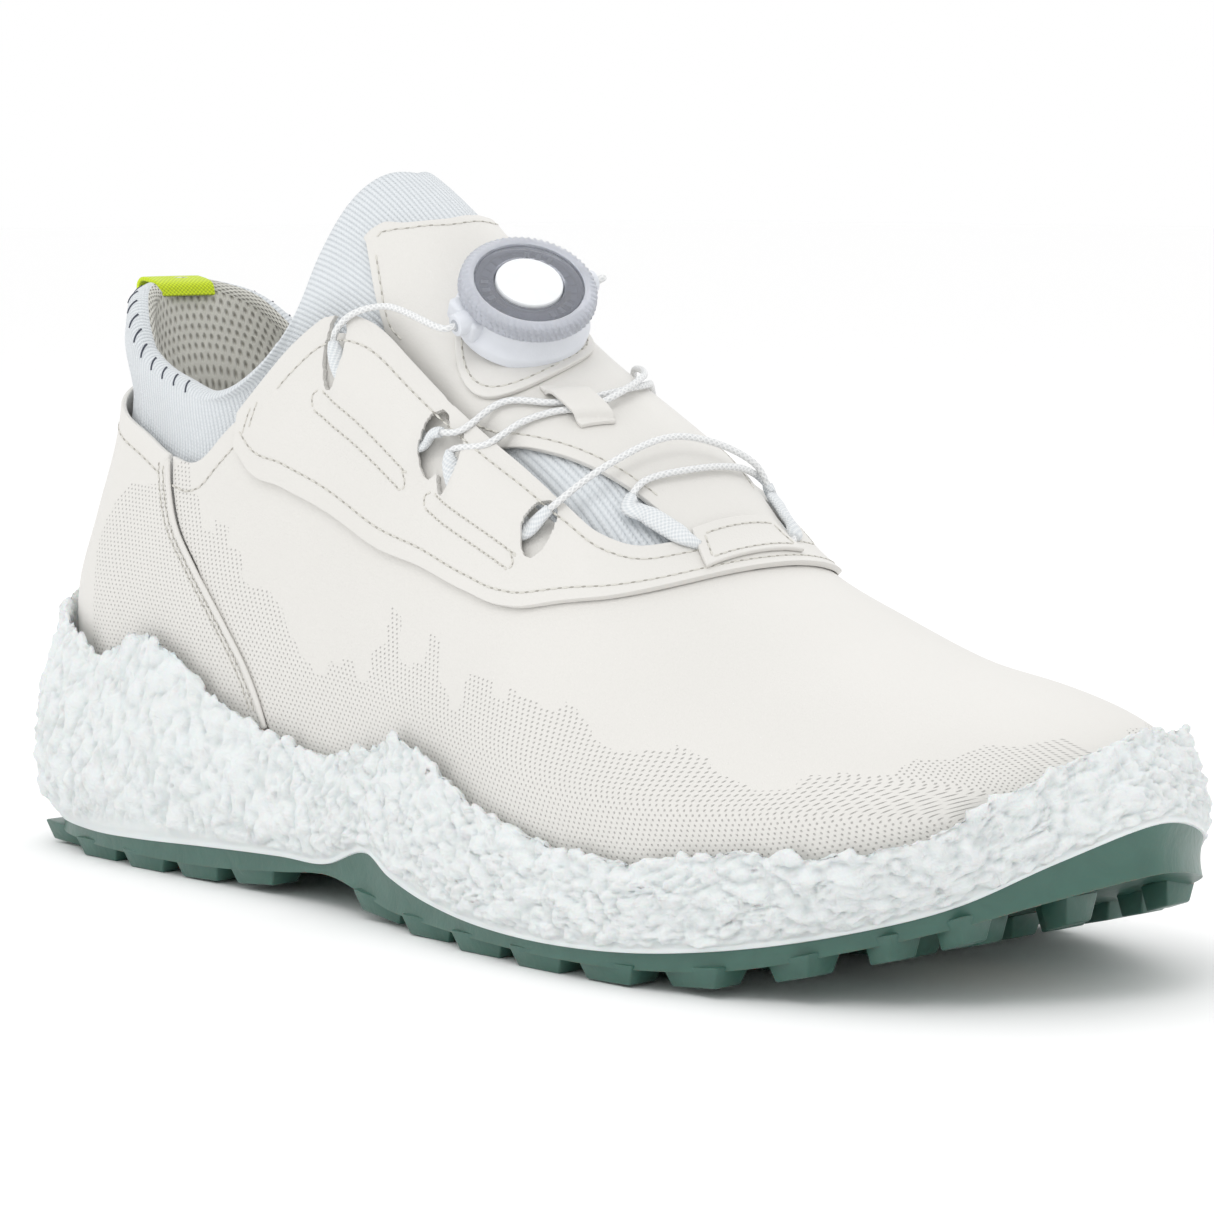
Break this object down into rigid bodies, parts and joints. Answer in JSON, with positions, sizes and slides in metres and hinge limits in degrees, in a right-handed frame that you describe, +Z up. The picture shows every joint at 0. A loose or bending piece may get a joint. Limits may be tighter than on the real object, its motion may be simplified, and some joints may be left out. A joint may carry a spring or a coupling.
{
  "type": "golf shoe",
  "caption": "Low right-foot golf shoe with a ratchet-dial lace closure on the tongue, a stretch-knit collar, a foam midsole and a lugged outsole.",
  "frame": {"origin": "centre of the bounding box in plan, on the ground under the lugs", "axes": "+X to the toe, +Z up, -Y to the outer (lateral) side, +Y to the inner (medial) side"},
  "size_m": [0.3028, 0.11, 0.1488],
  "materials": {
    "outsole": "satin",
    "foam": "matte",
    "leather": "matte",
    "knit": "matte",
    "lining": "matte",
    "padding": "matte",
    "board": "matte",
    "sock": "matte",
    "stiffener": "matte",
    "shank": "satin",
    "webbing": "matte",
    "tab": "matte",
    "cord": "matte",
    "housing": "satin",
    "mechanism": "satin",
    "grip": "gloss",
    "window": "gloss",
    "cap": "satin",
    "screw": "satin"
  },
  "bodies": {
    "shoe": {"outsole": "outsole", "midsole": "foam", "shank_plate": "shank", "insole_board": "board", "sock_liner": "sock", "vamp_quarter": "leather", "heel_panel": "leather", "seam_piping_lateral": "leather", "seam_piping_medial": "leather", "facing_overlay_lateral": "leather", "facing_overlay_medial": "leather", "throat_patch": "leather", "heel_counter": "stiffener", "toe_puff": "stiffener", "knit_bootie": "knit", "collar_padding": "padding", "collar_lining": "lining", "pull_tab": "tab", "tongue_overlay": "leather", "dial_patch": "leather", "lace_keeper": "leather", "guide_upper_lateral": "webbing", "guide_middle_lateral": "webbing", "guide_base_lateral": "webbing", "guide_upper_medial": "webbing", "guide_middle_medial": "webbing", "guide_base_medial": "webbing", "lace": "cord", "dial_housing": "housing", "centre_screw": "screw"},
    "ratchet": {"pawl_disc": "mechanism", "dial_spool": "mechanism"},
    "knob": {"grip_ring": "grip", "knob_window": "window", "knob_cap": "cap"}
  },
  "joints": [
    {"name": "dial_turn", "type": "hinge", "parent": "shoe", "child": "ratchet", "pos_m": [-0.00425, -0.00622, 0.12062], "axis": [0.5858, -0.3209, 0.7442], "range_deg": [-720, 0]},
    {"name": "knob_pull", "type": "slide", "parent": "ratchet", "child": "knob", "axis": [0.5858, -0.3209, 0.7442], "range_m": [0, 0.0024]}
  ]
}
